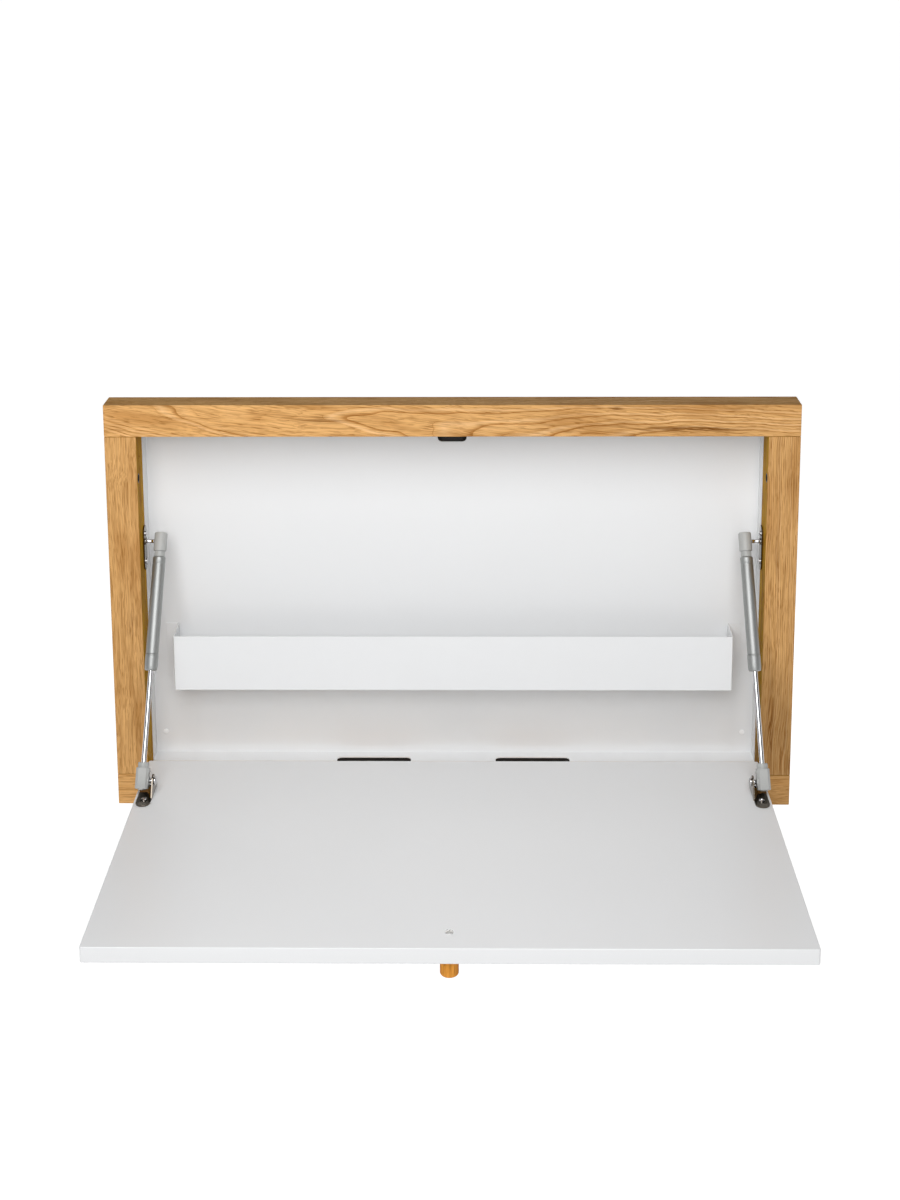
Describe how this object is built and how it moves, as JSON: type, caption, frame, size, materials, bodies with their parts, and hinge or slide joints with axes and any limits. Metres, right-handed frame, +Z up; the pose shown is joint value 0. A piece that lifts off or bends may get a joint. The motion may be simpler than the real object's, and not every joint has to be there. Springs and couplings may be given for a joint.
{
  "type": "wall-mounted secretary desk",
  "caption": "Wall-mounted desk with an oak frame, a white steel back pan with a pen tray, and a white drop-front writing panel on hinges, held by gas struts.",
  "frame": {"origin": "centre of the back pan's rear face, on the wall plane, at half the frame's height", "axes": "+X to the right along the frame's width, +Y into the wall, +Z up; the writing panel opens towards -Y"},
  "size_m": [0.85, 0.5073, 0.523],
  "materials": {
    "oiled_oak": "oiled",
    "beech": "planed",
    "white_powder_coat": "satin",
    "white_lacquer": "satin",
    "white_plastic": "satin",
    "grey_plastic": "matte",
    "silver_lacquer": "satin",
    "chrome_plate": "polished",
    "blackened_steel": "matte",
    "zinc_plate": "satin"
  },
  "bodies": {
    "cabinet": {"frame_top_rail": "oiled_oak", "frame_bottom_rail": "oiled_oak", "frame_left_stile": "oiled_oak", "frame_right_stile": "oiled_oak", "top_left_dowel": "beech", "top_right_dowel": "beech", "bottom_left_dowel": "beech", "bottom_right_dowel": "beech", "back_pan": "white_powder_coat", "pen_tray": "white_powder_coat", "left_screw_cap": "white_plastic", "right_screw_cap": "white_plastic", "wall_hook": "blackened_steel", "left_upper_bracket": "chrome_plate", "left_upper_stud": "chrome_plate", "left_upper_screw_top": "chrome_plate", "left_upper_screw_low": "chrome_plate", "left_catch_strike": "chrome_plate", "right_upper_bracket": "chrome_plate", "right_upper_stud": "chrome_plate", "right_upper_screw_top": "chrome_plate", "right_upper_screw_low": "chrome_plate", "right_catch_strike": "chrome_plate", "left_rail_leaf": "zinc_plate", "left_hinge_pin": "zinc_plate", "centre_rail_leaf": "zinc_plate", "centre_hinge_pin": "zinc_plate", "right_rail_leaf": "zinc_plate", "right_hinge_pin": "zinc_plate"},
    "panel": {"drop_panel": "white_lacquer", "knob": "oiled_oak", "knob_screw": "chrome_plate", "left_panel_leaf": "zinc_plate", "centre_panel_leaf": "zinc_plate", "right_panel_leaf": "zinc_plate", "left_lower_bracket": "chrome_plate", "left_lower_stud": "chrome_plate", "left_lower_screw_front": "chrome_plate", "left_lower_screw_rear": "chrome_plate", "left_catch_housing": "chrome_plate", "right_lower_bracket": "chrome_plate", "right_lower_stud": "chrome_plate", "right_lower_screw_front": "chrome_plate", "right_lower_screw_rear": "chrome_plate", "right_catch_housing": "chrome_plate"},
    "left_rod": {"left_strut_rod": "chrome_plate", "left_strut_piston": "chrome_plate", "left_rod_socket": "grey_plastic"},
    "left_tube": {"left_strut_tube": "silver_lacquer", "left_strut_sleeve": "silver_lacquer", "left_tube_socket": "grey_plastic"},
    "left_ball": {"left_catch_ball": "chrome_plate"},
    "right_rod": {"right_strut_rod": "chrome_plate", "right_strut_piston": "chrome_plate", "right_rod_socket": "grey_plastic"},
    "right_tube": {"right_strut_tube": "silver_lacquer", "right_strut_sleeve": "silver_lacquer", "right_tube_socket": "grey_plastic"},
    "right_ball": {"right_catch_ball": "chrome_plate"}
  },
  "joints": [
    {"name": "panel_hinge", "type": "hinge", "parent": "cabinet", "child": "panel", "pos_m": [0, -0.0688, -0.2195], "axis": [-1, 0, 0], "range_deg": [0, 90]},
    {"name": "left_rod_pivot", "type": "hinge", "parent": "panel", "child": "left_rod", "pos_m": [-0.3766, -0.1603, -0.1855], "axis": [0.9961, 0.0558, -0.0688], "range_deg": [0, 115.62]},
    {"name": "left_tube_slide", "type": "slide", "parent": "left_rod", "child": "left_tube", "axis": [0.0389, 0.4219, 0.9058], "range_m": [-0.08452, 0]},
    {"name": "left_catch_slide", "type": "slide", "parent": "panel", "child": "left_ball", "axis": [1, 0, 0], "range_m": [0, 0.0015], "stiffness_N_per_m": 500, "springref_m": -0.002},
    {"name": "right_rod_pivot", "type": "hinge", "parent": "panel", "child": "right_rod", "pos_m": [0.3766, -0.1603, -0.1855], "axis": [0.9961, -0.0558, 0.0688], "range_deg": [0, 115.62]},
    {"name": "right_tube_slide", "type": "slide", "parent": "right_rod", "child": "right_tube", "axis": [-0.0389, 0.4219, 0.9058], "range_m": [-0.08452, 0]},
    {"name": "right_catch_slide", "type": "slide", "parent": "panel", "child": "right_ball", "axis": [-1, 0, 0], "range_m": [0, 0.0015], "stiffness_N_per_m": 500, "springref_m": -0.002}
  ],
  "couplings": [
    {"joint": "left_rod_pivot", "follows": "panel_hinge", "ratio": 1.2846},
    {"joint": "left_tube_slide", "follows": "panel_hinge", "m_per_rad": -0.053805},
    {"joint": "right_rod_pivot", "follows": "panel_hinge", "ratio": 1.2846},
    {"joint": "right_tube_slide", "follows": "panel_hinge", "m_per_rad": -0.053805}
  ]
}
